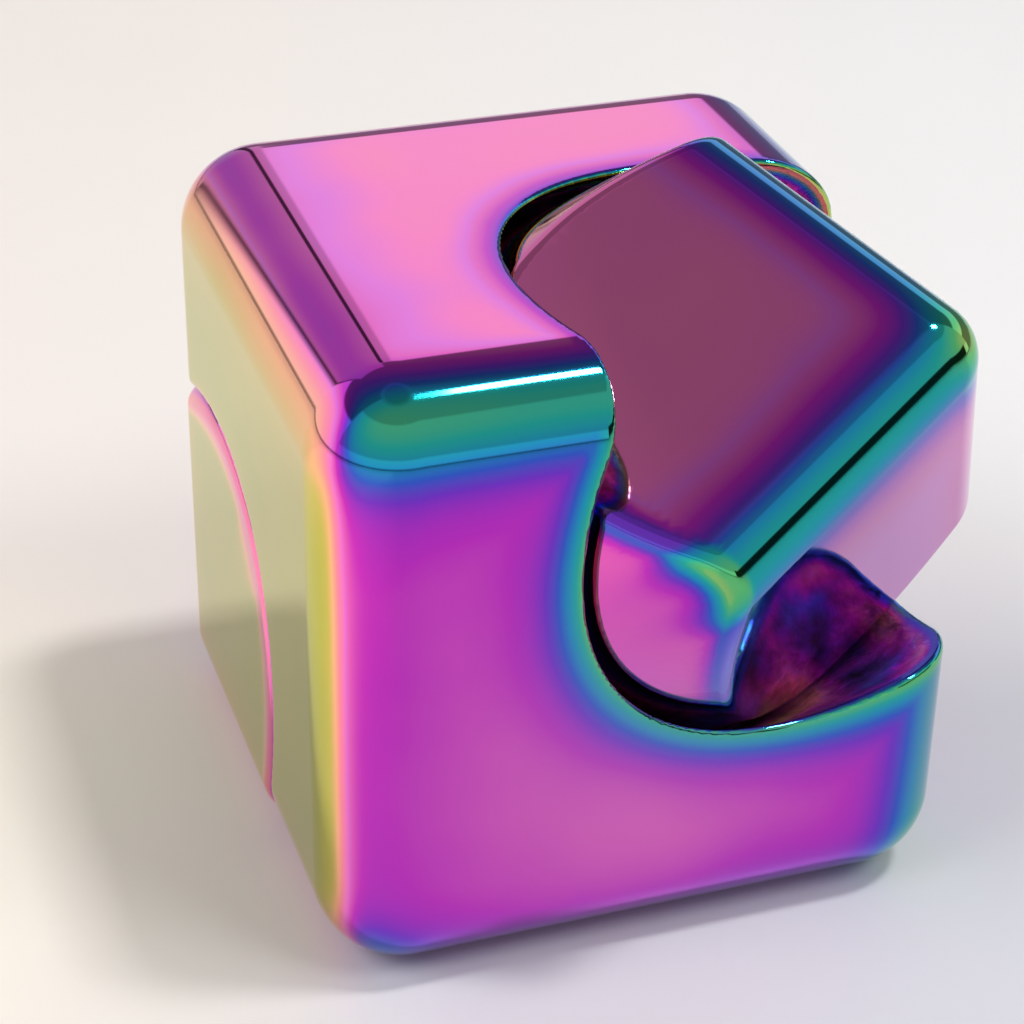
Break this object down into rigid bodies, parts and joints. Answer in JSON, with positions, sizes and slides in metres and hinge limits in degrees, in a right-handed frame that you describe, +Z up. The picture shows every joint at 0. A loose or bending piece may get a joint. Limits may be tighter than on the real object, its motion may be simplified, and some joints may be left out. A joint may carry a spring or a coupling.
{
  "type": "cube spinner fidget toy",
  "caption": "Rounded metal cube with two opposite corners that spin on ball bearings about the body diagonal.",
  "frame": {"origin": "on the surface the cube stands on, under the middle of the bounding box at rest; the cube's own centre is 1.4 mm from it towards -X and +Y, because the turned upper corner stands proud", "axes": "+Z up from the resting face; the front face of the cube looks along -Y and its right face along +X; both corners turn about the body diagonal (1, -1, 1)"},
  "size_m": [0.0314, 0.0314, 0.0314],
  "materials": {
    "rainbow_coat": "polished metal under a thin iridescent coat that runs from yellow-green through pink, magenta, violet and blue to teal",
    "ground_steel": "ground",
    "bearing_steel": "lapped bearing steel",
    "stamped_steel": "stamped and tumbled",
    "brass": "turned",
    "brass_cage": "stamped",
    "black_oxide": "black oxide"
  },
  "bodies": {
    "cube": {"cube_body": "rainbow_coat", "axle": "ground_steel", "upper_spacer": "brass", "upper_bearing_inner_ring": "bearing_steel", "upper_washer": "stamped_steel", "upper_screw": "black_oxide", "lower_spacer": "brass", "lower_bearing_inner_ring": "bearing_steel", "lower_washer": "stamped_steel", "lower_screw": "black_oxide"},
    "upper_spinner": {"upper_corner": "rainbow_coat", "upper_bearing_outer_ring": "bearing_steel", "upper_bearing_back_shield": "stamped_steel", "upper_bearing_front_shield": "stamped_steel"},
    "upper_ball_train": {"upper_bearing_cage": "brass_cage", "upper_bearing_ball_01": "bearing_steel", "upper_bearing_ball_02": "bearing_steel", "upper_bearing_ball_03": "bearing_steel", "upper_bearing_ball_04": "bearing_steel", "upper_bearing_ball_05": "bearing_steel", "upper_bearing_ball_06": "bearing_steel", "upper_bearing_ball_07": "bearing_steel", "upper_bearing_ball_08": "bearing_steel", "upper_bearing_ball_09": "bearing_steel", "upper_bearing_ball_10": "bearing_steel"},
    "lower_spinner": {"lower_corner": "rainbow_coat", "lower_bearing_outer_ring": "bearing_steel", "lower_bearing_back_shield": "stamped_steel", "lower_bearing_front_shield": "stamped_steel"},
    "lower_ball_train": {"lower_bearing_cage": "brass_cage", "lower_bearing_ball_01": "bearing_steel", "lower_bearing_ball_02": "bearing_steel", "lower_bearing_ball_03": "bearing_steel", "lower_bearing_ball_04": "bearing_steel", "lower_bearing_ball_05": "bearing_steel", "lower_bearing_ball_06": "bearing_steel", "lower_bearing_ball_07": "bearing_steel", "lower_bearing_ball_08": "bearing_steel", "lower_bearing_ball_09": "bearing_steel", "lower_bearing_ball_10": "bearing_steel"}
  },
  "joints": [
    {"name": "upper_corner_spin", "type": "hinge", "parent": "cube", "child": "upper_spinner", "pos_m": [-0.00168, 0.00168, 0.014], "axis": [0.5774, -0.5774, 0.5774], "continuous": true},
    {"name": "upper_ball_train_roll", "type": "hinge", "parent": "cube", "child": "upper_ball_train", "pos_m": [-0.00168, 0.00168, 0.014], "axis": [0.5774, -0.5774, 0.5774], "continuous": true},
    {"name": "lower_corner_spin", "type": "hinge", "parent": "cube", "child": "lower_spinner", "pos_m": [-0.00168, 0.00168, 0.014], "axis": [-0.5774, 0.5774, -0.5774], "continuous": true},
    {"name": "lower_ball_train_roll", "type": "hinge", "parent": "cube", "child": "lower_ball_train", "pos_m": [-0.00168, 0.00168, 0.014], "axis": [-0.5774, 0.5774, -0.5774], "continuous": true}
  ],
  "couplings": [
    {"joint": "upper_ball_train_roll", "follows": "upper_corner_spin", "ratio": 0.5834},
    {"joint": "lower_ball_train_roll", "follows": "lower_corner_spin", "ratio": 0.5834}
  ]
}
